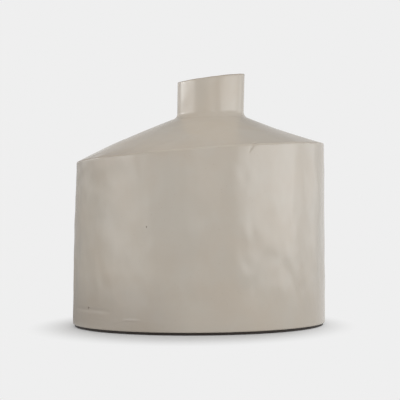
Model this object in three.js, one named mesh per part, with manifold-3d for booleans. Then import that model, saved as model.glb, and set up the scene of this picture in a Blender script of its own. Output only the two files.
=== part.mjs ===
// A slab-built stoneware bottle vase: a round wall rolled from one slab, a shallow cone for the shoulder, and
// a short neck collar that stands off centre. The shoulder's crease and the rim are cut at a slant.
// Millimetres, +Z up. The origin is on the ground under the middle of the base, and the front faces -Y.

import * as THREE from "three";
import { mergeVertices, toCreasedNormals } from "three/addons/utils/BufferGeometryUtils.js";
import Module from "manifold-3d";

const wasm = await Module();
wasm.setup();

// Heights above the ground on the middle line
const CREASE_HEIGHT = 170.4;
const SEAT_HEIGHT = 206.6;
const RIM_HEIGHT = 245.8;

// Outside diameters
const BASE_DIAMETER = 251;
const NECK_DIAMETER = 66.2;

// How far the wall draws in on its way up to the crease, and the neck opens out on its way up to the rim
const WALL_DRAW = 2;
const RIM_FLARE = 0.5;

// Thicknesses of the rolled slabs
const BASE_THICKNESS = 9;
const WALL_THICKNESS = 6.5;
const SHOULDER_THICKNESS = 6.5;
const NECK_THICKNESS = 6;

// The bare ring under the base that the vase stands on
const FOOT_HEIGHT = 2.4;
const FOOT_INSET = 2;
const FOOT_WIDTH = 11;

// Rounded edges
const BASE_ROUND = 0.8;
const CREASE_ROUND = 2.2;
const RIM_ROUND = 1.2;

// Coils of clay pressed into the corners: how far each reaches along both faces, and its edge's thickness
const BASE_COIL_REACH = 9;
const SHOULDER_COIL_REACH = 9;
const NECK_COIL_REACH = 4.5;
const COIL_EDGE = 0.5;

// Strips of clay that back the seams of the rolled slabs
const STRIP_WIDTH = 24;
const STRIP_THICKNESS = 3;
const STRIP_STOP = 8;

// The film of slip in every joint
const SLIP = 0.3;

// How far the crease, the neck's seat and the rim stand to the right of the base
const CREASE_SHIFT = 2.2;
const SEAT_SHIFT = 12.7;
const RIM_SHIFT = 13.6;

// How steeply they climb to the right and to the back, in degrees
const CREASE_TILT = 3.94;
const CREASE_TILT_BACK = -0.6;
const SEAT_TILT = 1;
const RIM_TILT = 6.8;
const RIM_TILT_BACK = 2.6;

// Facets round the vase, steps in each rounded edge, and the angle past which an edge looks sharp, in degrees
const FACETS = 72;
const ARC_STEPS = 3;
const SHARP_ANGLE = 25;

// Finishes
const GLAZE = { color: 0xb0a79b, roughness: 0.35, metalness: 0 };
const BARE_CLAY = { color: 0x2f2822, roughness: 0.9, metalness: 0 };

// Section of the upright vase, as radius and height

function along(start, direction, distance) {
  return start.clone().addScaledVector(direction, distance);
}

function directionTo(from, to) {
  return to.clone().sub(from).normalize();
}

function inwardOf(direction) {
  return new THREE.Vector2(-direction.y, direction.x);
}

// Where the line through p along u crosses the line through q along v
function crossing(p, u, q, v) {
  return along(p, u, q.clone().sub(p).cross(v) / u.cross(v));
}

const level = new THREE.Vector2(-1, 0);
const plumb = new THREE.Vector2(0, 1);

// Outer corners, from the base up
const baseTop = FOOT_HEIGHT + BASE_THICKNESS;
const wallFoot = new THREE.Vector2(BASE_DIAMETER / 2, baseTop);
const crease = new THREE.Vector2(wallFoot.x - WALL_DRAW, CREASE_HEIGHT);
const seat = new THREE.Vector2(NECK_DIAMETER / 2, SEAT_HEIGHT);
const rim = new THREE.Vector2(seat.x + RIM_FLARE, RIM_HEIGHT);

// Which way each outer face climbs, and which way is into the vase
const wallUp = directionTo(wallFoot, crease);
const wallIn = inwardOf(wallUp);
const shoulderUp = directionTo(crease, seat);
const shoulderIn = inwardOf(shoulderUp);
const neckUp = directionTo(seat, rim);

// Inner corners
const wallInside = along(wallFoot, wallIn, WALL_THICKNESS);
const shoulderInside = along(crease, shoulderIn, SHOULDER_THICKNESS);
const boreAtSeat = along(seat, level, NECK_THICKNESS);
const boreAtRim = along(rim, level, NECK_THICKNESS);
const innerFoot = crossing(wallInside, wallUp, wallFoot, level);
const innerCrease = crossing(wallInside, wallUp, shoulderInside, shoulderUp);
const holeEdge = crossing(shoulderInside, shoulderUp, boreAtSeat, plumb);

// The rounded crease, split where the wall and the shoulder meet in a mitre
const roundCentre = crossing(
  along(wallFoot, wallIn, CREASE_ROUND),
  wallUp,
  along(crease, shoulderIn, CREASE_ROUND),
  shoulderUp,
);
const roundStart = wallIn.clone().negate().angle();
const roundEnd = shoulderIn.clone().negate().angle();
const mitreAngle = directionTo(roundCentre, crease).angle();
const mitreSlip = SLIP / 2 / CREASE_ROUND;
const mitreDown = inwardOf(directionTo(crease, innerCrease));

// The vase leans between these levels, and is upright below the first

const LEVELS = [
  { height: baseTop, shift: 0, right: 0, back: 0 },
  { height: CREASE_HEIGHT, shift: CREASE_SHIFT, right: CREASE_TILT, back: CREASE_TILT_BACK },
  { height: SEAT_HEIGHT, shift: SEAT_SHIFT, right: SEAT_TILT, back: 0 },
  { height: RIM_HEIGHT, shift: RIM_SHIFT, right: RIM_TILT, back: RIM_TILT_BACK },
];

function slope(degrees) {
  return Math.tan(THREE.MathUtils.degToRad(degrees));
}

// Sideways shift and slopes at a height, straight between the levels
function leanAt(height) {
  const held = THREE.MathUtils.clamp(height, LEVELS[0].height, LEVELS.at(-1).height);
  const next = Math.max(LEVELS.findIndex((entry) => entry.height >= held), 1);
  const bottom = LEVELS[next - 1];
  const top = LEVELS[next];
  const share = (held - bottom.height) / (top.height - bottom.height);
  const between = (a, b) => THREE.MathUtils.lerp(a, b, share);
  return {
    shift: between(bottom.shift, top.shift),
    right: between(slope(bottom.right), slope(top.right)),
    back: between(slope(bottom.back), slope(top.back)),
  };
}

function leaned(geometry) {
  const place = geometry.getAttribute("position");
  for (let i = 0; i < place.count; i += 1) {
    const x = place.getX(i);
    const y = place.getY(i);
    const z = place.getZ(i);
    const { shift, right, back } = leanAt(z);
    place.setXYZ(i, x + shift, y, z + x * right + y * back);
  }
  return geometry;
}

// Turning, cutting and naming

// A section turned about the upright middle line
function turned(section) {
  const points = section.getPoints(ARC_STEPS);
  if (THREE.ShapeUtils.isClockWise(points)) {
    points.reverse();
  }
  return new THREE.LatheGeometry(points, FACETS).rotateX(Math.PI / 2);
}

function solidOf(geometry) {
  const bare = geometry.clone().deleteAttribute("normal").deleteAttribute("uv");
  const merged = mergeVertices(bare);
  const vertProperties = new Float32Array(merged.getAttribute("position").array);
  const triVerts = new Uint32Array(merged.getIndex().array);
  return new wasm.Manifold(new wasm.Mesh({ numProp: 3, vertProperties, triVerts }));
}

function geometryOf(solid) {
  const mesh = solid.getMesh();
  const geometry = new THREE.BufferGeometry();
  geometry.setAttribute("position", new THREE.BufferAttribute(mesh.vertProperties, 3));
  geometry.setIndex(new THREE.BufferAttribute(mesh.triVerts, 1));
  return geometry;
}

// An upright slice of space behind the middle line, where the seams are
function backSlice(width) {
  const slice = new THREE.BoxGeometry(width, BASE_DIAMETER, 2 * RIM_HEIGHT);
  slice.translate(0, BASE_DIAMETER / 2, RIM_HEIGHT / 2);
  return solidOf(slice);
}

// A ring opened by the seam where the two ends of its slab meet
function seamed(ring) {
  return geometryOf(solidOf(ring).subtract(backSlice(SLIP)));
}

// The strip of a ring that lies behind the seam
function stripOf(ring) {
  return geometryOf(solidOf(ring).intersect(backSlice(STRIP_WIDTH)));
}

function piece(name, finish, geometry) {
  const shape = toCreasedNormals(leaned(geometry), THREE.MathUtils.degToRad(SHARP_ANGLE));
  const mesh = new THREE.Mesh(shape, new THREE.MeshStandardMaterial(finish));
  mesh.name = name;
  return mesh;
}

// Sections of the pieces

function closedSection(corners) {
  const section = new THREE.Path(corners);
  section.closePath();
  return section;
}

// A coil pressed into the corner between two faces that run from it along a and b, hollowed by a fingertip
function coilSection(corner, a, b, reach) {
  const offA = along(b, a, -a.dot(b)).normalize();
  const offB = along(a, b, -a.dot(b)).normalize();
  const offsetCorner = (offset) => crossing(along(corner, offA, offset), a, along(corner, offB, offset), b);
  const heel = offsetCorner(SLIP);
  const hollow = offsetCorner(SLIP + COIL_EDGE);
  const endA = along(along(corner, a, reach), offA, SLIP);
  const endB = along(along(corner, b, reach), offB, SLIP);
  const edgeA = along(endA, offA, COIL_EDGE);
  const edgeB = along(endB, offB, COIL_EDGE);
  const section = new THREE.Path([heel, endA, edgeA]);
  section.quadraticCurveTo(hollow.x, hollow.y, edgeB.x, edgeB.y);
  section.lineTo(endB.x, endB.y);
  section.closePath();
  return section;
}

// A strip that lies on an inner face, between two distances from the start of that face
function stripSection(start, up, inward, from, to) {
  const near = along(start, inward, SLIP);
  const far = along(near, inward, STRIP_THICKNESS);
  return closedSection([along(near, up, from), along(near, up, to), along(far, up, to), along(far, up, from)]);
}

function footRing() {
  const outside = BASE_DIAMETER / 2 - FOOT_INSET;
  const inside = outside - FOOT_WIDTH;
  const top = FOOT_HEIGHT - SLIP;
  const section = closedSection([
    new THREE.Vector2(inside, 0),
    new THREE.Vector2(outside, 0),
    new THREE.Vector2(outside, top),
    new THREE.Vector2(inside, top),
  ]);
  return piece("foot_ring", BARE_CLAY, turned(section));
}

function baseSlab() {
  const section = new THREE.Path();
  section.moveTo(0, FOOT_HEIGHT);
  section.lineTo(wallFoot.x - BASE_ROUND, FOOT_HEIGHT);
  section.quadraticCurveTo(wallFoot.x, FOOT_HEIGHT, wallFoot.x, FOOT_HEIGHT + BASE_ROUND);
  section.lineTo(wallFoot.x, baseTop);
  section.lineTo(0, baseTop);
  return piece("base_slab", GLAZE, turned(section));
}

function bodyWall() {
  const inner = along(innerFoot, wallUp, SLIP);
  const outer = along(wallFoot, wallUp, SLIP);
  const mitre = along(innerCrease, mitreDown, SLIP / 2);
  const section = new THREE.Path([inner, outer]);
  section.absarc(roundCentre.x, roundCentre.y, CREASE_ROUND, roundStart, mitreAngle - mitreSlip);
  section.lineTo(mitre.x, mitre.y);
  section.closePath();
  return piece("body_wall", GLAZE, seamed(turned(section)));
}

function shoulderCone() {
  const mitre = along(innerCrease, mitreDown, -SLIP / 2);
  const section = new THREE.Path([holeEdge, mitre]);
  section.absarc(roundCentre.x, roundCentre.y, CREASE_ROUND, mitreAngle + mitreSlip, roundEnd);
  section.lineTo(seat.x, seat.y);
  section.lineTo(boreAtSeat.x, boreAtSeat.y);
  section.closePath();
  return piece("shoulder_cone", GLAZE, seamed(turned(section)));
}

function neckCollar() {
  const inner = along(boreAtSeat, plumb, SLIP);
  const outer = along(seat, neckUp, SLIP);
  const section = new THREE.Path([inner, outer]);
  section.lineTo(rim.x, rim.y - RIM_ROUND);
  section.quadraticCurveTo(rim.x, rim.y, rim.x - RIM_ROUND, rim.y);
  section.lineTo(boreAtRim.x + RIM_ROUND, rim.y);
  section.quadraticCurveTo(boreAtRim.x, rim.y, boreAtRim.x, rim.y - RIM_ROUND);
  section.closePath();
  return piece("neck_collar", GLAZE, seamed(turned(section)));
}

function baseCoil() {
  const section = coilSection(innerFoot, level, wallUp, BASE_COIL_REACH);
  return piece("base_coil", GLAZE, turned(section));
}

function shoulderCoil() {
  const wallDown = wallUp.clone().negate();
  const section = coilSection(innerCrease, wallDown, shoulderUp, SHOULDER_COIL_REACH);
  return piece("shoulder_coil", GLAZE, turned(section));
}

function neckCoil() {
  const shoulderDown = shoulderUp.clone().negate();
  const section = coilSection(seat, shoulderDown, neckUp, NECK_COIL_REACH);
  return piece("neck_coil", GLAZE, turned(section));
}

function wallSeamStrip() {
  const from = BASE_COIL_REACH + SLIP;
  const to = innerFoot.distanceTo(innerCrease) - SHOULDER_COIL_REACH - SLIP;
  const section = stripSection(innerFoot, wallUp, wallIn, from, to);
  return piece("wall_seam_strip", GLAZE, stripOf(turned(section)));
}

function shoulderSeamStrip() {
  const from = SHOULDER_COIL_REACH + SLIP;
  const to = innerCrease.distanceTo(holeEdge) - STRIP_STOP;
  const section = stripSection(innerCrease, shoulderUp, shoulderIn, from, to);
  return piece("shoulder_seam_strip", GLAZE, stripOf(turned(section)));
}

// The vase

const foot = new THREE.Group().add(footRing(), baseSlab(), baseCoil());
const body = new THREE.Group().add(bodyWall(), wallSeamStrip());
const shoulder = new THREE.Group().add(shoulderCone(), shoulderCoil(), shoulderSeamStrip());
const neck = new THREE.Group().add(neckCollar(), neckCoil());
const vase = new THREE.Group().add(foot, body, shoulder, neck);
vase.name = "bottle_vase";

export default vase;
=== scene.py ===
"""Dresses a slab-built stoneware bottle vase in its glaze and sets a plain studio round it.

Lengths are in metres, +Z is up, and the vase's front faces -Y.
"""

import math
from types import SimpleNamespace

import bmesh
import bpy
from bpy.props import FloatProperty, FloatVectorProperty, IntProperty, PointerProperty
from mathutils import Matrix, Quaternion, Vector, noise


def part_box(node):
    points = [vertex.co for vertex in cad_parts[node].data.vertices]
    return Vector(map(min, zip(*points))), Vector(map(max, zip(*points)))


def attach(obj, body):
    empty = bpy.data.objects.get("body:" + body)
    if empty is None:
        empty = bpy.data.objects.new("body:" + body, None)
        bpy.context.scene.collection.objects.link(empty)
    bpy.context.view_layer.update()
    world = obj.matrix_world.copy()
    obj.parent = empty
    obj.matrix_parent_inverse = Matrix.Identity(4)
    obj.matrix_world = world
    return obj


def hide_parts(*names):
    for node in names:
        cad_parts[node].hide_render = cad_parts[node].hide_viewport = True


bl_info = {
    "name": "Bottle vase",
    "version": (1, 0, 0),
    "blender": (4, 5, 0),
    "location": "View3D > Sidebar > Vase",
    "description": "Builds a slab-built stoneware bottle vase and a plain studio round it",
    "category": "Object",
}

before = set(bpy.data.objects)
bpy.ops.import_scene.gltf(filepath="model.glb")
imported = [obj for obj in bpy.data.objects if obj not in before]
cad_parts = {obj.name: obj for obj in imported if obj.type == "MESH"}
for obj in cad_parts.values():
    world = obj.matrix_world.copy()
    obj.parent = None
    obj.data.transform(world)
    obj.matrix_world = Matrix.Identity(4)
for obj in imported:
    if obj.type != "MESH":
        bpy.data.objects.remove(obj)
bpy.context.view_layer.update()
BASE_LOW, BASE_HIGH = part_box("base_slab")
FOOT_LOW, FOOT_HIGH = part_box("foot_ring")

MM = 0.001

# How finely the surfaces are divided
TURN_STEP = math.radians(1)
FACE_STEP = 2.5 * MM
FINE_STEP = 0.8 * MM
INNER_STEP = 5 * MM
EDGE_STEPS = 8
SHARP_ANGLE = math.radians(40)
MERGE_DISTANCE = 0.001 * MM

# Into how many parts a turn step is cut near the seam and the nick, and how many parts to each side
CLOSE_PARTS = 5
CLOSE_COUNT = 15


# Settings that a user can change


def length(name, description, default):
    return FloatProperty(name=name, description=description, default=default, unit="LENGTH", precision=5)


def angle(name, description, degrees):
    return FloatProperty(name=name, description=description, default=math.radians(degrees), subtype="ANGLE")


def share(name, description, default):
    return FloatProperty(
        name=name, description=description, default=default, min=0, max=1, subtype="FACTOR"
    )


def colour(name, description, default):
    return FloatVectorProperty(
        name=name, description=description, default=default, min=0, max=1, subtype="COLOR"
    )


def power(name, description, default):
    return FloatProperty(name=name, description=description, default=default, min=0, unit="POWER")


class VaseSizes(bpy.types.PropertyGroup):
    """Sizes of the slabs, their edges, the coils and the strips"""

    base_diameter: length("Base diameter", "Outside width of the base", BASE_HIGH.x - BASE_LOW.x)
    base_bottom: length("Base underside", "Height of the base's underside", BASE_LOW.z)
    base_top: length("Base top", "Height at which the wall stands on the base", BASE_HIGH.z)
    foot_diameter: length("Foot diameter", "Outside width of the bare foot ring", FOOT_HIGH.x - FOOT_LOW.x)
    foot_width: length("Foot width", "Width of the face that the vase stands on", 11 * MM)
    crease_height: length("Crease height", "Height of the crease on the middle line", 170.4 * MM)
    seat_height: length("Seat height", "Height at which the neck sits on the shoulder", 206.6 * MM)
    rim_height: length("Rim height", "Height of the rim on the middle line", 245.8 * MM)
    wall_draw: length("Wall draw", "How far the wall draws in on its way up to the crease", 2 * MM)
    neck_diameter: length("Neck diameter", "Outside width of the neck at its seat", 66.2 * MM)
    rim_flare: length("Rim flare", "How far the neck opens out on its way up to the rim", 0.5 * MM)
    wall_thickness: length("Wall thickness", "Thickness of the wall's slab", 6.5 * MM)
    shoulder_thickness: length("Shoulder thickness", "Thickness of the shoulder's slab", 6.5 * MM)
    neck_thickness: length("Neck thickness", "Thickness of the neck's slab", 6 * MM)
    base_round: length("Base round", "Radius of the base's lower edge", 0.8 * MM)
    crease_round: length("Crease round", "Radius of the crease", 2.2 * MM)
    rim_round: length("Rim round", "Radius of the rim's edges", 1.2 * MM)
    foot_round: length("Foot round", "Radius of the foot ring's edges", 0.4 * MM)
    base_coil_reach: length("Base coil reach", "How far the base coil reaches along both faces", 9 * MM)
    shoulder_coil_reach: length("Shoulder coil reach", "The same for the coil under the crease", 9 * MM)
    neck_coil_reach: length("Neck coil reach", "The same for the coil round the neck's foot", 4.5 * MM)
    strip_width: length("Strip width", "Width of the strips behind the seams", 24 * MM)
    strip_thickness: length("Strip thickness", "Thickness of the strips behind the seams", 3 * MM)
    strip_stop: length("Strip stop", "How far the shoulder's strip ends before the bore", 8 * MM)


class VaseLean(bpy.types.PropertyGroup):
    """How the vase leans to the right, and how its crease, seat and rim slant"""

    crease_shift: length("Crease shift", "How far right of the base the crease stands", 2.2 * MM)
    seat_shift: length("Seat shift", "How far right of the base the neck's seat stands", 12.7 * MM)
    rim_shift: length("Rim shift", "How far right of the base the rim stands", 13.6 * MM)
    crease_tilt: angle("Crease tilt", "How steeply the crease climbs to the right", 3.94)
    crease_tilt_back: angle("Crease tilt back", "How steeply the crease climbs to the back", -0.6)
    seat_tilt: angle("Seat tilt", "How steeply the seat climbs to the right", 1)
    rim_tilt: angle("Rim tilt", "How steeply the rim climbs to the right", 6.8)
    rim_tilt_back: angle("Rim tilt back", "How steeply the rim climbs to the back", 2.6)


class VaseHand(bpy.types.PropertyGroup):
    """Traces that building by hand leaves in the clay"""

    seed: IntProperty(
        name="Seed", description="Picks one pattern of bulges, dents and ripples", default=9, min=1
    )
    bulge: length("Bulge", "Height of the slow bulges in the slabs", 0.6 * MM)
    bulge_span: length("Bulge span", "Grid of the slow bulges", 48 * MM)
    dent: length("Dent", "Height of the quicker dents of the hand", 0.5 * MM)
    dent_span: length("Dent span", "Grid of the quicker dents", 15 * MM)
    ripple: length("Ripple", "Height of the fine ripples that smoothing leaves", 0.18 * MM)
    ripple_span: length("Ripple span", "Grid of the fine ripples", 7 * MM)
    crown: length("Crown", "How much fuller the shoulder is on its left", 0.9 * MM)
    seam_depth: length("Seam depth", "Depth of the smoothed seams at the back", 0.35 * MM)
    seam_width: length("Seam width", "Half width of the seams at the back", 1.6 * MM)
    scrape: length("Scrape", "Height of the marks left by trimming the foot", 0.35 * MM)
    nick_depth: length("Nick depth", "Depth of the nick in the crease", 0.38 * MM)
    pinhole: length("Pinhole", "Radius of the pinholes in the glaze", 0.58 * MM)


class VaseFinish(bpy.types.PropertyGroup):
    """Colours of the glaze and the clay"""

    glaze: colour("Glaze", "The satin glaze where it lies thick", (0.43, 0.39, 0.335))
    glaze_warm: colour("Warm glaze", "The glaze where iron in the clay warms it", (0.425, 0.372, 0.308))
    # This brown also colours the painted shade low on the left and along the left of the crease.
    glaze_thin_and_painted_shade: colour("Thin glaze", "The glaze where it breaks over an edge", (0.17, 0.13, 0.095))
    # The bare clay's near-black is partly the dark clay and partly painted shade of the gap under the base.
    clay: colour("Clay", "The bare clay of the foot", (0.03, 0.025, 0.02))
    clay_grit: colour("Grit", "The paler grit in the bare clay", (0.075, 0.062, 0.05))


class VaseStudio(bpy.types.PropertyGroup):
    """Background, lights and camera"""

    background: share("Background", "Level of the pale floor and background", 0.863)
    ceiling: share("Ceiling", "How pale the ceiling is in a reflection, next to the background", 0.3)
    corner: share("Corner", "The same for the dim corner behind the vase on the left", 0.3)
    # Below the background's level, this colour makes the shadow oval partly a painted shadow round the
    # rendered one.
    floor: share("Floor", "How pale the floor is where it takes the vase's shadow", 0.56)
    bounce: share("Bounce", "Share of its light that the floor throws back up at the vase", 0.15)
    room: share("Room", "Level of the room's own light", 1)
    key: power("Key light", "Power of the wide softbox on the right", 4.95)
    core: power("Core light", "Power of the narrow softbox that brightens one part of it", 0.26)
    rear: power("Rear light", "Power of the weak softbox behind it", 1.05)
    low: power("Low light", "Power of the low softbox on the left", 1.85)
    high: power("High light", "Power of the high softbox on the left", 6.6)
    front: power("Front light", "Power of the soft light beside the camera", 34)
    lens: FloatProperty(name="Lens", description="Focal length of the camera, in millimetres", default=126)
    distance: length("Distance", "How far in front of the vase the camera stands", 1.4)
    height: length("Height", "Height of the camera", 118 * MM)
    roll: angle("Roll", "How far the camera is turned about its view", -0.4)


# The upright section, as radius and height

LEVEL = Vector((-1, 0))
PLUMB = Vector((0, 1))


def inward_of(direction):
    """The way into the clay from an outer face that climbs in that direction."""
    return Vector((-direction.y, direction.x))


def crossing(p, u, q, v):
    """Where the line through p along u crosses the line through q along v."""
    return p + u * ((q - p).cross(v) / u.cross(v))


def section_of(sizes):
    """Corners and directions that the outlines of all pieces share."""
    s = SimpleNamespace()
    s.wall_foot = Vector((sizes.base_diameter / 2, sizes.base_top))
    s.crease = Vector((s.wall_foot.x - sizes.wall_draw, sizes.crease_height))
    s.seat = Vector((sizes.neck_diameter / 2, sizes.seat_height))
    s.rim = Vector((s.seat.x + sizes.rim_flare, sizes.rim_height))
    s.wall_up = (s.crease - s.wall_foot).normalized()
    s.shoulder_up = (s.seat - s.crease).normalized()
    s.neck_up = (s.rim - s.seat).normalized()
    wall_inside = s.wall_foot + inward_of(s.wall_up) * sizes.wall_thickness
    shoulder_inside = s.crease + inward_of(s.shoulder_up) * sizes.shoulder_thickness
    s.seat_bore = s.seat + LEVEL * sizes.neck_thickness
    s.rim_bore = s.rim + LEVEL * sizes.neck_thickness
    s.inner_foot = crossing(wall_inside, s.wall_up, s.wall_foot, LEVEL)
    s.inner_crease = crossing(wall_inside, s.wall_up, shoulder_inside, s.shoulder_up)
    s.hole_edge = crossing(shoulder_inside, s.shoulder_up, s.seat_bore, PLUMB)
    s.crease_arc = rounded(s.wall_foot, s.crease, s.seat, sizes.crease_round, 2 * EDGE_STEPS)
    return s


# Outlines


def stretch(start, end, step):
    """Points along a straight face, from its start to just before its end."""
    count = max(1, round((end - start).length / step))
    return [start.lerp(end, i / count) for i in range(count)]


def rounded(before, corner, after, radius, steps=EDGE_STEPS):
    """The arc that rounds a corner of an outline."""
    to_before = (before - corner).normalized()
    to_after = (after - corner).normalized()
    half = to_before.angle(to_after) / 2
    run = radius / math.tan(half)
    centre = corner + (to_before + to_after).normalized() * (radius / math.sin(half))
    first = corner + to_before * run - centre
    last = corner + to_after * run - centre
    sweep = math.copysign(first.angle(last), first.cross(last))
    return [centre + Matrix.Rotation(sweep * i / steps, 2) @ first for i in range(steps + 1)]


def hollowed(start, corner, end, steps=2 * EDGE_STEPS):
    """A hollow curve that leaves both faces of a corner smoothly."""
    shares = [i / steps for i in range(steps + 1)]
    return [start.lerp(corner, t).lerp(corner.lerp(end, t), t) for t in shares]


def coil_outline(corner, a, b, reach, fullness):
    """A coil pressed into the corner between two faces that run from it along a and b."""
    start = corner + a * reach
    end = corner + b * reach
    return [corner.copy(), *hollowed(start, corner.lerp((start + end) / 2, fullness), end)]


# Turning an outline into a mesh


def turns():
    """Angles round the vase, closer together at the seam and at the nick."""
    even = [i * TURN_STEP for i in range(round(math.tau / TURN_STEP))]
    near = range(-CLOSE_COUNT, CLOSE_COUNT + 1)
    close = [middle + i * TURN_STEP / CLOSE_PARTS for middle in (SEAM_TURN, NICK_TURN) for i in near]
    return sorted({round(turn % math.tau, 6) for turn in even + close})


def mesh_from(name, points, faces):
    mesh = bpy.data.meshes.new(name)
    mesh.from_pydata(points, [], faces)
    mesh.validate()
    return mesh


def turned(name, outline, closed=True):
    """A mesh of an outline turned about the middle line; an open outline starts and ends on that line."""
    stops = turns()
    rows = len(outline)
    points = []
    for turn in stops:
        across = math.cos(turn)
        back = math.sin(turn)
        points += [Vector((p.x * across, p.x * back, p.y)) for p in outline]
    faces = []
    for i in range(len(stops)):
        here = i * rows
        on = (i + 1) % len(stops) * rows
        for j in range(rows if closed else rows - 1):
            up = (j + 1) % rows
            faces.append((here + j, on + j, on + up, here + up))
    mesh = mesh_from(name, points, faces)
    if not closed:
        merge_close_points(mesh)
    return mesh


def merge_close_points(mesh):
    shape = bmesh.new()
    shape.from_mesh(mesh)
    bmesh.ops.remove_doubles(shape, verts=shape.verts, dist=MERGE_DISTANCE)
    shape.to_mesh(mesh)
    shape.free()


# Lean and traces of the hand, the same for every piece, so that the joints stay closed

# Where the slabs' seams lie
SEAM_TURN = math.radians(90)

# The nick: its turn, its ends below and above the crease, its slant, its wedge, and the clay that shows
NICK_TURN = math.radians(-66.6)
NICK_LOW = -9 * MM
NICK_HIGH = 7 * MM
NICK_SLANT = 0.6
NICK_WIDTH = 2.4 * MM
NICK_NARROW = 0.35
NICK_BARE = 0.15

# Painted shade low on the left, laid on as thin glaze: how far left it starts and is full, the heights at
# which it fades, its amount
PAINTED_SHADE_LEFT = (-0.1, 0.5)
PAINTED_SHADE_LOW = (5 * MM, 75 * MM)
PAINTED_SHADE_AMOUNT = 0.38

# Painted shade along the left of the crease: the band above it, the band below it, and the crease itself,
# which is partly glaze worn thin over the edge and partly painted shade
SHADE_BAND_START = (-1.5 * MM, 0)
SHADE_OVER_CREASE = 28 * MM
SHADE_OVER_CREASE_AMOUNT = 0.3
SHADE_UNDER_CREASE = 45 * MM
SHADE_UNDER_CREASE_AMOUNT = 0.22
CREASE_SHADE_LEFT = (0.1, 0.9)
CREASE_WEAR_AND_SHADE_REACH = 2.4 * MM
CREASE_WEAR_AND_SHADE_AMOUNT = 0.5

# Thin glaze over the edges of the rim and the base: its reach and its amount
RIM_THIN = (1 * MM, 0.45)
BASE_THIN = (0.8 * MM, 0.3)

# Heights between which the unevenness sets in above the foot, and how much longer it is upwards
FOOT_STILL = 6 * MM
FOOT_FREE = 45 * MM
DRAWN_UP = 1.8

# Heights between which the shoulder and the neck get smoother than the wall and rough again, and how much
SMOOTH_START = (155 * MM, 180 * MM)
SMOOTH_END = (222 * MM, 258 * MM)
SMOOTH_AMOUNT = 0.7

# Height below the crease over which the shoulder's crown sets in
CROWN_BLEND = 30 * MM


def eased(value, low, high):
    """From 0 at low to 1 at high, with a soft start and end."""
    t = min(max((value - low) / (high - low), 0), 1)
    return t * t * (3 - 2 * t)


def bump_at(distance, width):
    """A round bump of height 1 that dies out over about twice its width."""
    return math.exp(-((distance / width) ** 2))


def wave(turn):
    """From 1 down to 0 and up again, once for each full turn."""
    return 0.5 + 0.5 * math.cos(turn)


def lean_levels(sizes, lean):
    """Heights with their sideways shift and their slopes to the right and to the back."""
    crease_slopes = (math.tan(lean.crease_tilt), math.tan(lean.crease_tilt_back))
    seat_slopes = (math.tan(lean.seat_tilt), 0)
    rim_slopes = (math.tan(lean.rim_tilt), math.tan(lean.rim_tilt_back))
    return [
        (sizes.base_top, 0, 0, 0),
        (sizes.crease_height, lean.crease_shift, *crease_slopes),
        (sizes.seat_height, lean.seat_shift, *seat_slopes),
        (sizes.rim_height, lean.rim_shift, *rim_slopes),
    ]


def leaned(point, levels):
    """Where a point of the upright vase stands on the leaning one."""
    height = min(max(point.z, levels[0][0]), levels[-1][0])
    top = next(i for i in range(1, len(levels)) if levels[i][0] >= height)
    low, high = levels[top - 1], levels[top]
    part = (height - low[0]) / (high[0] - low[0])
    shift, right, back = (a + (b - a) * part for a, b in zip(low[1:], high[1:]))
    return Vector((point.x + shift, point.y, point.z + point.x * right + point.y * back))


def crowned(point, sizes, hand):
    """How far the shoulder's slab rises above a straight cone, most on its left."""
    low = sizes.base_diameter / 2 - sizes.wall_draw
    high = sizes.neck_diameter / 2
    radius = math.hypot(point.x, point.y)
    part = min(max((low - radius) / (low - high), 0), 1)
    left = (1 - point.x / max(radius, MM)) / 2
    near = eased(point.z, sizes.crease_height - CROWN_BLEND, sizes.crease_height)
    return hand.crown * math.sin(math.pi * part) * left * near


def unevenness(point, hand):
    """The slow bulges, dents and fine ripples of slabs worked by hand; the foot stays flat."""
    drawn = Vector((point.x, point.y, point.z / DRAWN_UP))
    moved = noise.noise_vector(drawn / hand.bulge_span) * hand.bulge
    quick = noise.noise_vector(drawn / hand.dent_span) * hand.dent
    quick += noise.noise_vector(drawn / hand.ripple_span) * hand.ripple
    smooth = eased(point.z, *SMOOTH_START) * (1 - eased(point.z, *SMOOTH_END))
    return (moved + quick * (1 - SMOOTH_AMOUNT * smooth)) * eased(point.z, FOOT_STILL, FOOT_FREE)


def in_nick(point, sizes):
    """From 0 outside to 1 in the middle of the nick, a soft wedge that slants down from the crease."""
    radius = math.hypot(point.x, point.y)
    crease_radius = sizes.base_diameter / 2 - sizes.wall_draw
    up = min(point.z - sizes.crease_height, 0) + max(crease_radius - radius, 0)
    across = math.remainder(math.atan2(point.y, point.x) - NICK_TURN, math.tau) * radius
    ends = eased(up, NICK_LOW, NICK_LOW / 2) * (1 - eased(up, NICK_HIGH / 2, NICK_HIGH))
    width = NICK_WIDTH * (NICK_NARROW + (1 - NICK_NARROW) * eased(up, NICK_LOW, 0))
    return ends * bump_at(across - up * NICK_SLANT, width)


def thin_edges(s, sizes):
    """Edges over which the glaze breaks: a point of the section, a reach and how much of the clay shows."""
    return [
        (s.rim, *RIM_THIN),
        (s.rim_bore, *RIM_THIN),
        (Vector((sizes.base_diameter / 2, sizes.base_bottom)), *BASE_THIN),
    ]


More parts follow.
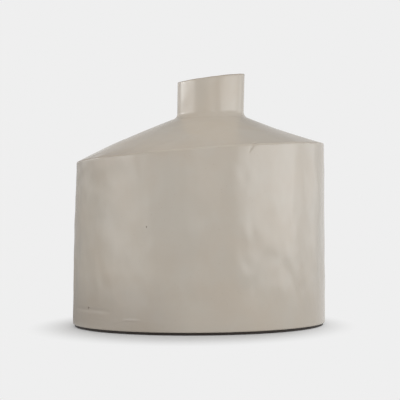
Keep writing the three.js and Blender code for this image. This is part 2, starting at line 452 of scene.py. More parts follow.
def thinness_and_painted_shade(point, edges, s, sizes):
    """How much of the clay shows through the glaze at a point of the upright vase, with the painted shade
    low on the left and along the left of the crease.
    """
    radius = math.hypot(point.x, point.y)
    flat = Vector((radius, point.z))
    left = -point.x / max(radius, MM)
    up = (flat - s.crease).dot(s.shoulder_up)
    over = eased(up, *SHADE_BAND_START)
    over_crease = over * (1 - eased(up, 0, SHADE_OVER_CREASE)) * SHADE_OVER_CREASE_AMOUNT
    under_crease = (1 - over) * eased(point.z, s.crease.y - SHADE_UNDER_CREASE, s.crease.y) * SHADE_UNDER_CREASE_AMOUNT
    on_crease = bump_at((flat - s.crease).length, CREASE_WEAR_AND_SHADE_REACH) * CREASE_WEAR_AND_SHADE_AMOUNT
    shares = [
        in_nick(point, sizes) * NICK_BARE,
        # painted shade low on the left
        eased(left, *PAINTED_SHADE_LEFT) * (1 - eased(point.z, *PAINTED_SHADE_LOW)) * PAINTED_SHADE_AMOUNT,
        # painted shade along the left of the crease, with the glaze partly worn thin on the crease itself
        eased(left, *CREASE_SHADE_LEFT) * max(over_crease, under_crease, on_crease),
    ]
    shares += [amount * bump_at((flat - edge).length, reach) for edge, reach, amount in edges]
    return max(shares)


def place_on_vase(point, settings):
    """Where a point of the upright, even vase ends up."""
    outward = Vector((point.x, point.y, 0)).normalized()
    pressed = (outward + Vector((0, 0, 1))) * settings.hand.nick_depth * in_nick(point, settings.sizes)
    raised = point + Vector((0, 0, crowned(point, settings.sizes, settings.hand))) - pressed
    placed = leaned(raised, lean_levels(settings.sizes, settings.lean))
    return placed + unevenness(placed, settings.hand)


def shape_by_hand(mesh, settings, mark=None):
    """Presses the marks of one piece into its faces, then leans and bends it as the whole vase is."""
    noise.seed_set(settings.hand.seed)
    s = section_of(settings.sizes)
    edges = thin_edges(s, settings.sizes)
    # The attribute holds both the thin glaze and the painted shade.
    mesh.attributes.new("thin_glaze_and_painted_shade", "FLOAT", "POINT")
    thin = [thinness_and_painted_shade(vertex.co, edges, s, settings.sizes) for vertex in mesh.vertices]
    mesh.attributes["thin_glaze_and_painted_shade"].data.foreach_set("value", thin)
    normals = [normal.vector.copy() for normal in mesh.vertex_normals]
    for vertex, normal in zip(mesh.vertices, normals):
        point = vertex.co.copy()
        if mark:
            point += normal * mark(point, normal, settings)
        vertex.co = place_on_vase(point, settings)
    mesh.update()


# Marks of one piece: how far each raises its face

# How far a normal at the back points outwards or up where the face is an outer one
OUTWARD = 0.5


def seam_mark(point, normal, settings):
    """The smoothed seam at the back, where the two ends of a slab meet."""
    outside = point.y > 0 and max(normal.y, normal.z) > OUTWARD
    return -settings.hand.seam_depth * bump_at(point.x, settings.hand.seam_width) if outside else 0


# Marks of trimming the foot: turn from the front, height, half length, half width, share of the full height
SCRAPES = [
    (math.radians(-58), 20.6 * MM, 40 * MM, 2 * MM, -0.8),
    (math.radians(-30), 12.9 * MM, 10 * MM, 0.9 * MM, 0.55),
    (math.radians(118), 17 * MM, 30 * MM, 1.8 * MM, -0.7),
    (math.radians(150), 14 * MM, 12 * MM, 0.9 * MM, 0.6),
]

# Share of such a mark's length that has its full height
SCRAPE_FULL = 0.5


def scrape_mark(point, normal, settings):
    """Short level ridges and long shallow grooves just above the foot."""
    radius = math.hypot(point.x, point.y)
    turn = math.atan2(point.x, -point.y)
    if normal.x * point.x + normal.y * point.y < 0:
        return 0
    raised = 0
    for middle, height, half_length, half_width, rise in SCRAPES:
        along = math.remainder(turn - middle, math.tau) * radius
        ends = 1 - eased(abs(along), half_length * SCRAPE_FULL, half_length)
        raised += rise * ends * bump_at(point.z - height, half_width)
    return settings.hand.scrape * raised


def wall_marks(point, normal, settings):
    return seam_mark(point, normal, settings) + scrape_mark(point, normal, settings)


FINGER_PRESSES = 44
PRESS_DEPTH = 0.5 * MM


def finger_marks(point, normal, settings):
    """Fingertip hollows along a coil pressed in from inside."""
    turn = math.atan2(point.y, point.x)
    return -PRESS_DEPTH * wave(FINGER_PRESSES * turn)


# Pinholes: turn from the front, height, and size next to a plain one
PINHOLES = [
    (math.radians(-23.3), 100.6 * MM, 1),
    (math.radians(-56.7), 22.6 * MM, 1.6),
    (math.radians(79), 46.6 * MM, 1.8),
    (math.radians(-150), 120 * MM, 1),
    (math.radians(165), 60 * MM, 1.2),
]

# A pit as shares of its radius: the clear space round it, its flat edge, its bottom and its depth
PIT_CLEARED = 1.7
PIT_EDGE = 1.1
PIT_BOTTOM = 0.7
PIT_DEPTH = 2


def prick(mesh, settings, section):
    """Cuts the pinholes of the wall's glaze, round pits with the dark clay at their bottom."""
    shape = bmesh.new()
    shape.from_mesh(mesh)
    thin = shape.verts.layers.float["thin_glaze_and_painted_shade"]
    slope = section.wall_up.x / section.wall_up.y
    for turn, height, size in PINHOLES:
        radius = section.wall_foot.x + slope * (height - section.wall_foot.y)
        upright = Vector((radius * math.sin(turn), -radius * math.cos(turn), height))
        cut_pit(shape, thin, place_on_vase(upright, settings), size * settings.hand.pinhole)
    shape.to_mesh(mesh)
    shape.free()


def cut_pit(shape, thin, target, radius):
    """Replaces the points nearest to a target by a round pit and the flat edge round it."""
    nearest = min(shape.verts, key=lambda vert: (vert.co - target).length)
    normal = nearest.normal.copy()
    around = nearest[thin]
    cleared = {vert for vert in shape.verts if (vert.co - target).length < PIT_CLEARED * radius}
    cleared.add(nearest)
    corners = corners_round(cleared, target, normal)
    bmesh.ops.delete(shape, geom=list(cleared), context="VERTS")
    spokes = [flattened(corner.co - target, normal) for corner in corners]
    rings = [corners]
    for size, depth, bare in ((PIT_EDGE, 0, around), (1, 0, 1), (PIT_BOTTOM, PIT_DEPTH, 1)):
        ring = [shape.verts.new(target + (spoke * size - normal * depth) * radius) for spoke in spokes]
        for vert in ring:
            vert[thin] = bare
        rings.append(ring)
    for outer, inner in zip(rings, rings[1:]):
        for i, corner in enumerate(outer):
            on = (i + 1) % len(outer)
            shape.faces.new((corner, outer[on], inner[on], inner[i]))
    shape.faces.new(rings[-1])
    for face in shape.faces:
        face.normal_update()


def flattened(vector, normal):
    """The direction of a vector along the face with that normal."""
    return (vector - normal * vector.dot(normal)).normalized()


def corners_round(cleared, target, normal):
    """The points round a set of points, in order about the normal at the target."""
    right = normal.orthogonal().normalized()
    up = normal.cross(right)
    linked = {vert for middle in cleared for face in middle.link_faces for vert in face.verts}
    return sorted(
        linked - cleared,
        key=lambda vert: math.atan2((vert.co - target).dot(up), (vert.co - target).dot(right)),
    )


# Materials

# Specks: the share of the texture's cells without one, and the distances at which one starts and is full
SPECK_FREE = 0.9
SPECK_EDGE = 0.16
SPECK_CORE = 0.08

# The glaze: scales of its clouds and grain, how they and the thin places and painted shade show, its gloss
# and its peel
GLAZE_SCALES = (22, 420)
CLOUD_RANGE = (0.35, 0.7)
SPECK_AMOUNT = 0.3
THIN_AND_SHADE_RANGE = (0.05, 1)
THIN_AND_SHADE_SHOWS = 0.9
SATIN_RANGE = (0.3, 0.7)
SATIN_ROUGHNESS = (0.17, 0.23)
DRY_RANGE = (0.38, 0.5)
DRY_ROUGHNESS = (0.2, 0.65)
GLAZE_IOR = 1.6
PEEL_HEIGHT = 0.012 * MM

# The bare clay: scales of its clouds and grain, how its grit shows and how rough it is
CLAY_SCALES = (60, 900)
GRIT_RANGE = (0.52, 0.68)
CLAY_RANGE = (0.3, 0.7)
CLAY_ROUGHNESS = (0.85, 0.96)
GRIT_HEIGHT = 0.15 * MM


def link(tree, source, target):
    tree.links.new(source, target)


def new_node(tree, kind, **values):
    """A node with some of its settings and inputs set; inputs are named with spaces as underscores."""
    node = tree.nodes.new(kind)
    for name, value in values.items():
        if hasattr(node, name):
            setattr(node, name, value)
        else:
            node.inputs[name.replace("_", " ")].default_value = value
    return node


def clay_texture():
    """The group for slow mottling and fine grain that glaze and bare clay share."""
    group = bpy.data.node_groups.get("Fired clay texture")
    if group:
        return group
    group = bpy.data.node_groups.new("Fired clay texture", "ShaderNodeTree")
    socket = group.interface.new_socket
    socket("Point", in_out="INPUT", socket_type="NodeSocketVector")
    socket("Mottle Scale", in_out="INPUT", socket_type="NodeSocketFloat")
    socket("Grain Scale", in_out="INPUT", socket_type="NodeSocketFloat")
    socket("Mottle", in_out="OUTPUT", socket_type="NodeSocketFloat")
    socket("Grain", in_out="OUTPUT", socket_type="NodeSocketFloat")
    socket("Speck", in_out="OUTPUT", socket_type="NodeSocketFloat")
    start = new_node(group, "NodeGroupInput")
    end = new_node(group, "NodeGroupOutput")
    mottle = new_node(group, "ShaderNodeTexNoise", Detail=4.0, Roughness=0.55, Distortion=0.4)
    grain = new_node(group, "ShaderNodeTexNoise", Detail=3.0, Roughness=0.6)
    cells = new_node(group, "ShaderNodeTexVoronoi", feature="F1", Randomness=1.0)
    cell_dot = new_node(group, "ShaderNodeMapRange", From_Min=SPECK_EDGE, From_Max=SPECK_CORE)
    cell_pick = new_node(group, "ShaderNodeMath", operation="GREATER_THAN")
    cell_pick.inputs[1].default_value = SPECK_FREE
    speck = new_node(group, "ShaderNodeMath", operation="MULTIPLY")
    for texture, scale in ((mottle, "Mottle Scale"), (grain, "Grain Scale"), (cells, "Grain Scale")):
        link(group, start.outputs["Point"], texture.inputs["Vector"])
        link(group, start.outputs[scale], texture.inputs["Scale"])
    red = new_node(group, "ShaderNodeSeparateColor")
    link(group, cells.outputs["Color"], red.inputs["Color"])
    link(group, cells.outputs["Distance"], cell_dot.inputs["Value"])
    link(group, red.outputs["Red"], cell_pick.inputs[0])
    link(group, cell_dot.outputs["Result"], speck.inputs[0])
    link(group, cell_pick.outputs["Value"], speck.inputs[1])
    link(group, mottle.outputs["Fac"], end.inputs["Mottle"])
    link(group, grain.outputs["Fac"], end.inputs["Grain"])
    link(group, speck.outputs["Value"], end.inputs["Speck"])
    return group


def material_with_texture(name, mottle_scale, grain_scale):
    """A new material with its shader and the shared clay texture, laid on in the vase's own frame."""
    material = bpy.data.materials.new(name)
    material.use_nodes = True
    tree = material.node_tree
    shader = tree.nodes["Principled BSDF"]
    place = new_node(tree, "ShaderNodeTexCoord")
    texture = new_node(tree, "ShaderNodeGroup", node_tree=clay_texture())
    texture.inputs["Mottle Scale"].default_value = mottle_scale
    texture.inputs["Grain Scale"].default_value = grain_scale
    link(tree, place.outputs["Object"], texture.inputs["Point"])
    return material, tree, shader, texture


def blended(tree, factor, first, second):
    """A mix of two colours; each is a socket or a plain colour."""
    mix = new_node(tree, "ShaderNodeMix", data_type="RGBA")
    link(tree, factor, mix.inputs["Factor"])
    for name, value in (("A", first), ("B", second)):
        socket = next(s for s in mix.inputs if s.name == name and s.type == "RGBA")
        if isinstance(value, bpy.types.NodeSocket):
            link(tree, value, socket)
        else:
            socket.default_value = (*value, 1)
    return next(s for s in mix.outputs if s.type == "RGBA")


def ranged(tree, value, low, high, to_low=0.0, to_high=1.0, soft=False):
    """A value moved from one range to another, evenly or with a soft start and end."""
    node = new_node(tree, "ShaderNodeMapRange", From_Min=low, From_Max=high, To_Min=to_low, To_Max=to_high)
    node.interpolation_type = "SMOOTHSTEP" if soft else "LINEAR"
    link(tree, value, node.inputs["Value"])
    return node.outputs["Result"]


def bumped(tree, height, distance):
    """The normals of a face with bumps up to that distance high."""
    bump = new_node(tree, "ShaderNodeBump", Strength=1.0, Distance=distance)
    link(tree, height, bump.inputs["Height"])
    return bump.outputs["Normal"]


def glaze_material(finish):
    """Satin grey-beige stoneware glaze: slow warm clouds, a few iron specks, thin and brown over edges, and
    brown as painted shade low on the left and along the left of the crease.
    """
    found = bpy.data.materials.get("satin_glaze")
    if found:
        return found
    material, tree, shader, texture = material_with_texture("satin_glaze", *GLAZE_SCALES)
    shader.inputs["IOR"].default_value = GLAZE_IOR
    clouds = ranged(tree, texture.outputs["Mottle"], *CLOUD_RANGE)
    body = blended(tree, clouds, finish.glaze, finish.glaze_warm)
    specked = ranged(tree, texture.outputs["Speck"], 0, 1, 0, SPECK_AMOUNT)
    with_specks = blended(tree, specked, body, finish.glaze_thin_and_painted_shade)
    # The attribute carries thin glaze and painted shade, both mixed toward the thin glaze's brown.
    thin = new_node(tree, "ShaderNodeAttribute", attribute_name="thin_glaze_and_painted_shade")
    worn_and_shaded = ranged(tree, thin.outputs["Fac"], *THIN_AND_SHADE_RANGE, 0, THIN_AND_SHADE_SHOWS)
    colour_out = blended(tree, worn_and_shaded, with_specks, finish.glaze_thin_and_painted_shade)
    link(tree, colour_out, shader.inputs["Base Color"])
    satin = ranged(tree, texture.outputs["Mottle"], *SATIN_RANGE, *SATIN_ROUGHNESS)
    dry = ranged(tree, thin.outputs["Fac"], *DRY_RANGE, *DRY_ROUGHNESS)
    roughness = new_node(tree, "ShaderNodeMath", operation="MAXIMUM")
    link(tree, satin, roughness.inputs[0])
    link(tree, dry, roughness.inputs[1])
    link(tree, roughness.outputs["Value"], shader.inputs["Roughness"])
    peel = bumped(tree, texture.outputs["Grain"], PEEL_HEIGHT)
    link(tree, peel, shader.inputs["Normal"])
    return material


def clay_material(finish):
    """Bare dark stoneware: dry, matt and gritty; its near-black is partly the clay's own colour and partly
    painted shade of the gap under the base.
    """
    found = bpy.data.materials.get("bare_clay")
    if found:
        return found
    material, tree, shader, texture = material_with_texture("bare_clay", *CLAY_SCALES)
    grit = ranged(tree, texture.outputs["Grain"], *GRIT_RANGE)
    body = blended(tree, grit, finish.clay, finish.clay_grit)
    link(tree, body, shader.inputs["Base Color"])
    dry = ranged(tree, texture.outputs["Mottle"], *CLAY_RANGE, *CLAY_ROUGHNESS)
    link(tree, dry, shader.inputs["Roughness"])
    rough = bumped(tree, texture.outputs["Grain"], GRIT_HEIGHT)
    link(tree, rough, shader.inputs["Normal"])
    return material


# Pieces


def settings_of(context):
    scene = context.scene
    return SimpleNamespace(
        sizes=scene.vase_sizes,
        lean=scene.vase_lean,
        hand=scene.vase_hand,
        finish=scene.vase_finish,
        studio=scene.vase_studio,
    )


def add_object(data):
    """Puts a mesh, a lamp or a camera into the scene under its own name."""
    added = bpy.data.objects.new(data.name, data)
    bpy.context.scene.collection.objects.link(added)
    return added


def add_piece(mesh, node, material):
    """Shows a finished mesh in place of a node of the frame."""
    mesh.shade_smooth()
    mesh.set_sharp_from_angle(angle=SHARP_ANGLE)
    mesh.materials.append(material)
    piece = add_object(mesh)
    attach(piece, "root")
    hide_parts(node)


def add_glazed(mesh, node, settings):
    add_piece(mesh, node, glaze_material(settings.finish))


def build_foot(settings):
    sizes = settings.sizes
    outside = sizes.foot_diameter / 2
    inside = outside - sizes.foot_width
    corners = [
        Vector((inside, 0)),
        Vector((outside, 0)),
        Vector((outside, sizes.base_bottom)),
        Vector((inside, sizes.base_bottom)),
    ]
    inner_low = rounded(corners[3], corners[0], corners[1], sizes.foot_round)
    outer_low = rounded(corners[0], corners[1], corners[2], sizes.foot_round)
    outline = [*inner_low, *stretch(inner_low[-1], outer_low[0], FACE_STEP)[1:], *outer_low, *corners[2:]]
    mesh = turned("foot", outline)
    shape_by_hand(mesh, settings)
    add_piece(mesh, "foot_ring", clay_material(settings.finish))


def build_base(settings):
    sizes = settings.sizes
    s = section_of(sizes)
    middle_low = Vector((0, sizes.base_bottom))
    middle_top = Vector((0, sizes.base_top))
    edge = Vector((s.wall_foot.x, sizes.base_bottom))
    arc = rounded(middle_low, edge, s.wall_foot, sizes.base_round)
    outline = [
        *stretch(middle_low, arc[0], INNER_STEP),
        *arc,
        *stretch(arc[-1], s.wall_foot, FINE_STEP)[1:],
        *stretch(s.wall_foot, middle_top, INNER_STEP),
        middle_top,
    ]
    mesh = turned("base", outline, closed=False)
    shape_by_hand(mesh, settings)
    add_glazed(mesh, "base_slab", settings)


# How far up the wall the fine rows for the trimming marks go
TRIMMED = 20 * MM

# How far the fine rows beside the nick go, next to the nick's own ends, and beside a coil, next to its reach
NICK_BELOW = 2
NICK_ABOVE = 1.5
COIL_BESIDE = 1.5


def build_wall(settings):
    s = section_of(settings.sizes)
    arc = s.crease_arc[: EDGE_STEPS + 1]
    trimmed = s.wall_foot + s.wall_up * TRIMMED
    below_crease = s.crease + s.wall_up * NICK_LOW * NICK_BELOW
    outline = [
        *stretch(s.inner_foot, s.wall_foot, FACE_STEP),
        *stretch(s.wall_foot, trimmed, FINE_STEP),
        *stretch(trimmed, below_crease, FACE_STEP),
        *stretch(below_crease, arc[0], FINE_STEP),
        *arc,
        *stretch(arc[-1], s.inner_crease, FACE_STEP)[1:],
        *stretch(s.inner_crease, s.inner_foot, INNER_STEP),
    ]
    mesh = turned("wall", outline)
    shape_by_hand(mesh, settings, wall_marks)
    prick(mesh, settings, s)
    add_glazed(mesh, "body_wall", settings)


def build_shoulder(settings):
    s = section_of(settings.sizes)
    arc = s.crease_arc[EDGE_STEPS:]
    over_crease = s.crease + s.shoulder_up * NICK_HIGH * NICK_ABOVE
    under_coil = s.seat - s.shoulder_up * settings.sizes.neck_coil_reach * COIL_BESIDE
    outline = [
        *stretch(s.hole_edge, s.inner_crease, INNER_STEP),
        *stretch(s.inner_crease, arc[0], FACE_STEP),
        *arc,
        *stretch(arc[-1], over_crease, FINE_STEP)[1:],
        *stretch(over_crease, under_coil, FACE_STEP),
        *stretch(under_coil, s.seat, FINE_STEP),
        *stretch(s.seat, s.seat_bore, FACE_STEP),
        s.seat_bore,
    ]
    mesh = turned("shoulder", outline)
    shape_by_hand(mesh, settings, seam_mark)
    add_glazed(mesh, "shoulder_cone", settings)


def build_neck(settings):
    sizes = settings.sizes
    s = section_of(sizes)
    outer_edge = rounded(s.seat, s.rim, s.rim_bore, sizes.rim_round)
    inner_edge = rounded(s.rim, s.rim_bore, s.seat_bore, sizes.rim_round)
    over_coil = s.seat + s.neck_up * sizes.neck_coil_reach * COIL_BESIDE
    outline = [
        *stretch(s.seat_bore, s.seat, FACE_STEP),
        *stretch(s.seat, over_coil, FINE_STEP),
        *stretch(over_coil, outer_edge[0], FACE_STEP),
        *outer_edge,
        *stretch(outer_edge[-1], inner_edge[0], FINE_STEP)[1:],
        *inner_edge,
        *stretch(inner_edge[-1], s.seat_bore, FACE_STEP)[1:],
    ]
    mesh = turned("neck", outline)
    shape_by_hand(mesh, settings, seam_mark)
    add_glazed(mesh, "neck_collar", settings)


# How far a coil stands out of its corner, as a share of the way to a straight slope
PRESSED_FULLNESS = 0.12
SMOOTHED_FULLNESS = 0.03


def build_coils(settings):
    sizes = settings.sizes
    s = section_of(sizes)
    base_reach = sizes.base_coil_reach
    crease_reach = sizes.shoulder_coil_reach
    neck_reach = sizes.neck_coil_reach
    coils = [
        ("pressed_base_coil", "base_coil", s.inner_foot, LEVEL, s.wall_up, base_reach),
        ("pressed_shoulder_coil", "shoulder_coil", s.inner_crease, -s.wall_up, s.shoulder_up, crease_reach),
        ("smoothed_neck_coil", "neck_coil", s.seat, -s.shoulder_up, s.neck_up, neck_reach),
    ]
    for name, node, corner, a, b, reach in coils:
        smoothed = node == "neck_coil"
        outline = coil_outline(corner, a, b, reach, SMOOTHED_FULLNESS if smoothed else PRESSED_FULLNESS)
        if (outline[1] - corner).cross(outline[-1] - corner) < 0:
            outline.reverse()
        mesh = turned(name, outline)
        shape_by_hand(mesh, settings, None if smoothed else finger_marks)
        add_glazed(mesh, node, settings)


# A strip: how far apart and how deep its finger marks are, how thick its edges are, and how square
STRIP_PRESS_LENGTH = 15 * MM
STRIP_PRESS = 0.15
STRIP_EDGE = 0.25
STRIP_SIDES = 4
STRIP_ENDS = 16


def strip_mesh(name, start, up, distance, sizes):
    """A soft-edged strip that lies behind a seam, pressed on with a finger every few steps."""
    into = inward_of(up)
    along_count = round(distance / FACE_STEP)
    across_count = round(sizes.strip_width / FACE_STEP)
    layers = []
    for under in (True, False):
        layer = []
        for i in range(along_count + 1):
            t = i / along_count
            for j in range(across_count + 1):
                side = 2 * j / across_count - 1
                full = (1 - side**STRIP_SIDES) * (1 - (2 * t - 1) ** STRIP_ENDS)
                press = STRIP_PRESS * wave(math.tau * t * distance / STRIP_PRESS_LENGTH)
                share_full = STRIP_EDGE + (1 - STRIP_EDGE) * full - press * full
                rise = 0 if under else sizes.strip_thickness * share_full
                flat = start + up * t * distance + into * rise
                turn = SEAM_TURN + side * sizes.strip_width / 2 / flat.x
                layer.append(Vector((flat.x * math.cos(turn), flat.x * math.sin(turn), flat.y)))
        layers.append(layer)
    return mesh_from(name, *closed_slab(layers[0], layers[1], along_count, across_count))


def closed_slab(under, over, along_count, across_count):
    """Points and faces of a closed slab between two grids of points."""
    row = across_count + 1
    top = len(under)
    faces = []
    for i in range(along_count):
        for j in range(across_count):
            a, b = i * row + j, (i + 1) * row + j
            faces.append((a, a + 1, b + 1, b))
            faces.append((top + a, top + b, top + b + 1, top + a + 1))
    for i in range(along_count):
        left, right = i * row, i * row + across_count
        faces.append((left, left + row, top + left + row, top + left))
        faces.append((right + row, right, top + right, top + right + row))
    for j in range(across_count):
        low, high = j, along_count * row + j
        faces.append((low + 1, low, top + low, top + low + 1))
        faces.append((high, high + 1, top + high + 1, top + high))
    return under + over, faces


def build_strips(settings):
    sizes = settings.sizes
    s = section_of(sizes)
    wall_start = s.inner_foot + s.wall_up * sizes.base_coil_reach
    wall_end = s.inner_crease - s.wall_up * sizes.shoulder_coil_reach
    shoulder_start = s.inner_crease + s.shoulder_up * sizes.shoulder_coil_reach
    shoulder_end = s.hole_edge - s.shoulder_up * sizes.strip_stop
    strips = [
        ("pressed_wall_strip", "wall_seam_strip", wall_start, wall_end),
        ("pressed_shoulder_strip", "shoulder_seam_strip", shoulder_start, shoulder_end),
    ]
    for name, node, start, end in strips:
        up = (end - start).normalized()
        mesh = strip_mesh(name, start, up, (end - start).length, sizes)
        shape_by_hand(mesh, settings)
        add_glazed(mesh, node, settings)


# Studio

# Where the room's pale walls pass into the ceiling, as the upward part of a direction
WALL_TOP = 0.1
CEILING_EDGE = 0.45

# The dim low corner of the room: its direction, where the walls start and end to darken, and its top edge
CORNER = Vector((-0.85, 0.53, 0))
CORNER_START = 0.4
CORNER_END = 0.9
CORNER_TOP = (0.03, 0.09)

# Share of a softbox, across and up, over which its light fades to the edge
SOFT = (0.4, 0.4)
FIRM = (0.25, 0.4)


def scaled(tree, first, second):
    """The product of two values; each is a socket or a plain number."""
    node = new_node(tree, "ShaderNodeMath", operation="MULTIPLY")
    for value, socket in ((first, node.inputs[0]), (second, node.inputs[1])):
        if isinstance(value, bpy.types.NodeSocket):
            link(tree, value, socket)
        else:
            socket.default_value = value
    return node.outputs["Value"]


def measured(tree, operation, vector, other):
    """A number that two vectors give, such as their distance or the share of one along the other."""
    node = new_node(tree, "ShaderNodeVectorMath", operation=operation)
    link(tree, vector, node.inputs[0])
    node.inputs[1].default_value = other
    return node.outputs["Value"]


def seen_rays(tree):
    """1 for rays that show the background: from the camera, in a reflection or through glass."""
    path = new_node(tree, "ShaderNodeLightPath")
    seen = path.outputs["Is Camera Ray"]
    for name in ("Is Glossy Ray", "Is Transmission Ray"):
        either = new_node(tree, "ShaderNodeMath", operation="MAXIMUM")
        link(tree, seen, either.inputs[0])
        link(tree, path.outputs[name], either.inputs[1])
        seen = either.outputs["Value"]
    return seen


def pale_level(tree, direction, studio):
    """The pale background's level that way; reflections also show the dim ceiling and corner."""
    unit = new_node(tree, "ShaderNodeVectorMath", operation="NORMALIZE")
    link(tree, direction, unit.inputs[0])
    height = measured(tree, "DOT_PRODUCT", unit.outputs["Vector"], (0, 0, 1))
    towards = measured(tree, "DOT_PRODUCT", unit.outputs["Vector"], CORNER)
    under_ceiling = ranged(tree, height, WALL_TOP, CEILING_EDGE, 1, studio.ceiling)
    over_corner = ranged(tree, height, *CORNER_TOP, studio.corner, 1)
    in_corner = new_node(tree, "ShaderNodeMapRange", From_Min=CORNER_START, From_Max=CORNER_END, To_Min=1)
    link(tree, towards, in_corner.inputs["Value"])
    link(tree, over_corner, in_corner.inputs["To Max"])
    path = new_node(tree, "ShaderNodeLightPath")
    level = new_node(tree, "ShaderNodeMix", data_type="FLOAT")
    link(tree, path.outputs["Is Camera Ray"], level.inputs["Factor"])
    link(tree, scaled(tree, under_ceiling, in_corner.outputs["Result"]), level.inputs["A"])
    level.inputs["B"].default_value = 1
    return scaled(tree, level.outputs["Result"], studio.background)


def build_world(studio):
    """A room that gives even light and shows as the pale background."""
    world = bpy.data.worlds.new("studio_room")
    bpy.context.scene.world = world
    world.use_nodes = True
    tree = world.node_tree
    lit = tree.nodes["Background"]
    lit.inputs["Color"].default_value = (1, 1, 1, 1)
    lit.inputs["Strength"].default_value = studio.room
    shown = new_node(tree, "ShaderNodeBackground", Color=(1, 1, 1, 1))
    place = new_node(tree, "ShaderNodeTexCoord")
    link(tree, pale_level(tree, place.outputs["Generated"], studio), shown.inputs["Strength"])
    choice = new_node(tree, "ShaderNodeMixShader")
    link(tree, seen_rays(tree), choice.inputs[0])
    link(tree, lit.outputs[0], choice.inputs[1])
    link(tree, shown.outputs[0], choice.inputs[2])
    link(tree, choice.outputs[0], tree.nodes["World Output"].inputs["Surface"])


# The round floor lies just under the foot, so that their faces stay apart
FLOOR_RADIUS = 3
FLOOR_SIDES = 96
FLOOR_DROP = 0.05 * MM
FLOOR_ROUGHNESS = 0.9

# The oval of floor that takes the shadow, darker than the background and so partly painted shadow: its
# middle, how narrow it is, and where it starts and ends to fade
SHADOW_MIDDLE = (-0.0102, -0.0094, 0)
SHADOW_NARROW = (1.36, 1, 1)
SHADOW_NEAR = 0.134
SHADOW_FAR = 0.225


def floor_material(studio):
    """A pale floor that takes the vase's shadow close by and passes into the background further out; its
    colour there is darker than the background, so the oval is partly painted shadow.
    """
    material = bpy.data.materials.new("pale_floor")
    material.use_nodes = True
    tree = material.node_tree
    lit = tree.nodes["Principled BSDF"]
    lit.inputs["Roughness"].default_value = FLOOR_ROUGHNESS
    lit.inputs["Specular IOR Level"].default_value = 0
    dim = (studio.bounce, studio.bounce, studio.bounce)
    # This colour sits below the background's level: a painted shadow over the oval, on top of the rendered
    # one.
    pale = (studio.floor, studio.floor, studio.floor)
    seen = seen_rays(tree)
    link(tree, blended(tree, seen, dim, pale), lit.inputs["Base Color"])
    place = new_node(tree, "ShaderNodeTexCoord")
    glow = new_node(tree, "ShaderNodeEmission", Color=(1, 1, 1, 1))
    link(tree, pale_level(tree, place.outputs["Object"], studio), glow.inputs["Strength"])
    oval = new_node(tree, "ShaderNodeVectorMath", operation="MULTIPLY")
    link(tree, place.outputs["Object"], oval.inputs[0])
    oval.inputs[1].default_value = SHADOW_NARROW
    distance = measured(tree, "DISTANCE", oval.outputs["Vector"], SHADOW_MIDDLE)
    away = ranged(tree, distance, SHADOW_NEAR, SHADOW_FAR, soft=True)
    mix = new_node(tree, "ShaderNodeMixShader")
    link(tree, scaled(tree, seen, away), mix.inputs[0])
    link(tree, lit.outputs[0], mix.inputs[1])
    link(tree, glow.outputs[0], mix.inputs[2])
    link(tree, mix.outputs[0], tree.nodes["Material Output"].inputs["Surface"])
    return material


def build_floor(studio):
    shape = bmesh.new()
    bmesh.ops.create_circle(shape, cap_ends=True, segments=FLOOR_SIDES, radius=FLOOR_RADIUS)
    mesh = bpy.data.meshes.new("floor")
    shape.to_mesh(mesh)
    shape.free()
    mesh.materials.append(floor_material(studio))
    floor = add_object(mesh)
    floor.location.z = -FLOOR_DROP


def aimed(location, target):
    """The turn that looks from a place to a target."""
    return (Vector(target) - Vector(location)).to_track_quat("-Z", "Y")


# Middle of a lamp's face, which is measured from 0 to 1
FACE_MIDDLE = 0.5


def feather(data, soft):
    """Lets a lamp's face fade to its edges, as the cloth of a softbox does."""
    data.use_nodes = True
    tree = data.node_tree
    face = new_node(tree, "ShaderNodeNewGeometry")
    parts = new_node(tree, "ShaderNodeSeparateXYZ")
    link(tree, face.outputs["Parametric"], parts.inputs["Vector"])
    strength = 1
    for axis, fading in zip(("X", "Y"), soft):
        from_middle = new_node(tree, "ShaderNodeMath", operation="SUBTRACT")
        link(tree, parts.outputs[axis], from_middle.inputs[0])
        from_middle.inputs[1].default_value = FACE_MIDDLE
        outward = new_node(tree, "ShaderNodeMath", operation="ABSOLUTE")
        link(tree, from_middle.outputs["Value"], outward.inputs[0])
        fade = ranged(tree, outward.outputs["Value"], FACE_MIDDLE, FACE_MIDDLE - fading, soft=True)
        strength = scaled(tree, fade, strength)
    link(tree, strength, tree.nodes["Emission"].inputs["Strength"])


def add_softbox(name, watts, turn, distance, height, size, roll=0, soft=SOFT, mirrored=True):
    """A soft area light that faces the middle line; its turn is to the right from the camera's side."""
    data = bpy.data.lights.new(name, "AREA")
    data.shape = "RECTANGLE"
    data.size, data.size_y = size
    data.energy = watts
    feather(data, soft)
    lamp = add_object(data)
    lamp.location = (distance * math.sin(turn), -distance * math.cos(turn), height)
    level = aimed(lamp.location, (0, 0, height))
    lamp.rotation_euler = (level @ Quaternion((0, 0, 1), roll)).to_euler()
    lamp.visible_camera = False
    lamp.visible_glossy = mirrored


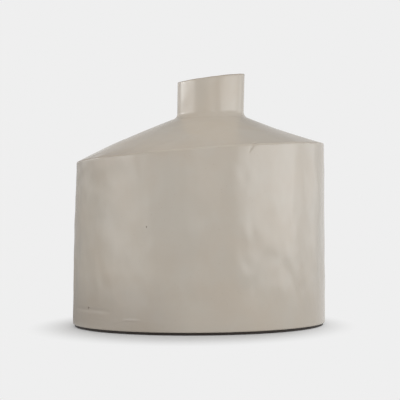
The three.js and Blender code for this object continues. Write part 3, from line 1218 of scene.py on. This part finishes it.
def build_lights(studio):
    """Three softboxes on the right, two on the left, and a fill that the glaze doesn't mirror."""
    tip = math.radians(-5)
    add_softbox(
        "key_softbox", studio.key, turn=math.radians(66), distance=0.95, height=0.18,
        size=(1.45, 0.5), roll=tip, soft=FIRM,
    )
    add_softbox(
        "core_softbox", studio.core, turn=math.radians(82), distance=0.95, height=0.2,
        size=(0.6, 0.5), roll=tip, soft=FIRM,
    )
    add_softbox(
        "rear_softbox", studio.rear, turn=math.radians(112), distance=1, height=0.2,
        size=(0.6, 0.6), soft=FIRM,
    )
    add_softbox(
        "low_softbox", studio.low, turn=math.radians(-68), distance=1.05, height=0.14,
        size=(1.4, 0.4),
    )
    add_softbox(
        "high_softbox", studio.high, turn=math.radians(-93), distance=1.05, height=0.4,
        size=(1.8, 0.3), soft=FIRM,
    )
    add_softbox(
        "front_light", studio.front, turn=math.radians(5), distance=2.2, height=0.5,
        size=(1.8, 0.8), mirrored=False,
    )


# Where the camera looks, and the width of its sensor in millimetres
AIM = (1.8 * MM, 0, 124.1 * MM)
SENSOR_WIDTH = 36


def build_camera(studio):
    data = bpy.data.cameras.new("studio_camera")
    data.lens = studio.lens
    data.sensor_width = SENSOR_WIDTH
    camera = add_object(data)
    camera.location = (0, -studio.distance, studio.height)
    camera.rotation_euler = (aimed(camera.location, AIM) @ Quaternion((0, 0, 1), studio.roll)).to_euler()
    bpy.context.scene.camera = camera


# Operators


class VASE_OT_foot(bpy.types.Operator):
    """Builds the bare foot ring"""

    bl_idname = "vase.foot"
    bl_label = "Foot ring"

    def execute(self, context):
        build_foot(settings_of(context))
        return {"FINISHED"}


class VASE_OT_base(bpy.types.Operator):
    """Builds the base slab"""

    bl_idname = "vase.base"
    bl_label = "Base slab"

    def execute(self, context):
        build_base(settings_of(context))
        return {"FINISHED"}


class VASE_OT_wall(bpy.types.Operator):
    """Builds the wall with its seam, scrapes, nick and pinholes"""

    bl_idname = "vase.wall"
    bl_label = "Wall"

    def execute(self, context):
        build_wall(settings_of(context))
        return {"FINISHED"}


class VASE_OT_shoulder(bpy.types.Operator):
    """Builds the leaning cone of the shoulder"""

    bl_idname = "vase.shoulder"
    bl_label = "Shoulder"

    def execute(self, context):
        build_shoulder(settings_of(context))
        return {"FINISHED"}


class VASE_OT_neck(bpy.types.Operator):
    """Builds the neck with its slanted rim"""

    bl_idname = "vase.neck"
    bl_label = "Neck"

    def execute(self, context):
        build_neck(settings_of(context))
        return {"FINISHED"}


class VASE_OT_coils(bpy.types.Operator):
    """Builds the coils pressed into the corners"""

    bl_idname = "vase.coils"
    bl_label = "Coils"

    def execute(self, context):
        build_coils(settings_of(context))
        return {"FINISHED"}


class VASE_OT_strips(bpy.types.Operator):
    """Builds the strips behind the seams"""

    bl_idname = "vase.strips"
    bl_label = "Seam strips"

    def execute(self, context):
        build_strips(settings_of(context))
        return {"FINISHED"}


class VASE_OT_stage(bpy.types.Operator):
    """Sets the floor, the room, the lights and the camera"""

    bl_idname = "vase.stage"
    bl_label = "Stage"

    def execute(self, context):
        studio = context.scene.vase_studio
        build_world(studio)
        build_floor(studio)
        build_lights(studio)
        build_camera(studio)
        context.scene.view_settings.view_transform = "Standard"
        return {"FINISHED"}


OPERATORS = (
    VASE_OT_foot,
    VASE_OT_base,
    VASE_OT_wall,
    VASE_OT_shoulder,
    VASE_OT_neck,
    VASE_OT_coils,
    VASE_OT_strips,
    VASE_OT_stage,
)

GROUPS = {
    "vase_sizes": VaseSizes,
    "vase_lean": VaseLean,
    "vase_hand": VaseHand,
    "vase_finish": VaseFinish,
    "vase_studio": VaseStudio,
}


class VASE_PT_workshop(bpy.types.Panel):
    """Lists the pieces of the vase and their settings"""

    bl_idname = "VASE_PT_workshop"
    bl_label = "Bottle vase"
    bl_space_type = "VIEW_3D"
    bl_region_type = "UI"
    bl_category = "Vase"

    def draw(self, context):
        for operator in OPERATORS:
            self.layout.operator(operator.bl_idname)
        for name, group in GROUPS.items():
            box = self.layout.box()
            for setting in group.__annotations__:
                box.prop(getattr(context.scene, name), setting)


CLASSES = (*GROUPS.values(), *OPERATORS, VASE_PT_workshop)


def register():
    for cls in CLASSES:
        bpy.utils.register_class(cls)
    for name, group in GROUPS.items():
        setattr(bpy.types.Scene, name, PointerProperty(type=group))


def unregister():
    for name in GROUPS:
        delattr(bpy.types.Scene, name)
    for cls in reversed(CLASSES):
        bpy.utils.unregister_class(cls)


def main():
    register()
    bpy.ops.vase.foot()
    bpy.ops.vase.base()
    bpy.ops.vase.wall()
    bpy.ops.vase.shoulder()
    bpy.ops.vase.neck()
    bpy.ops.vase.coils()
    bpy.ops.vase.strips()
    bpy.ops.vase.stage()


if __name__ == "__main__":
    main()
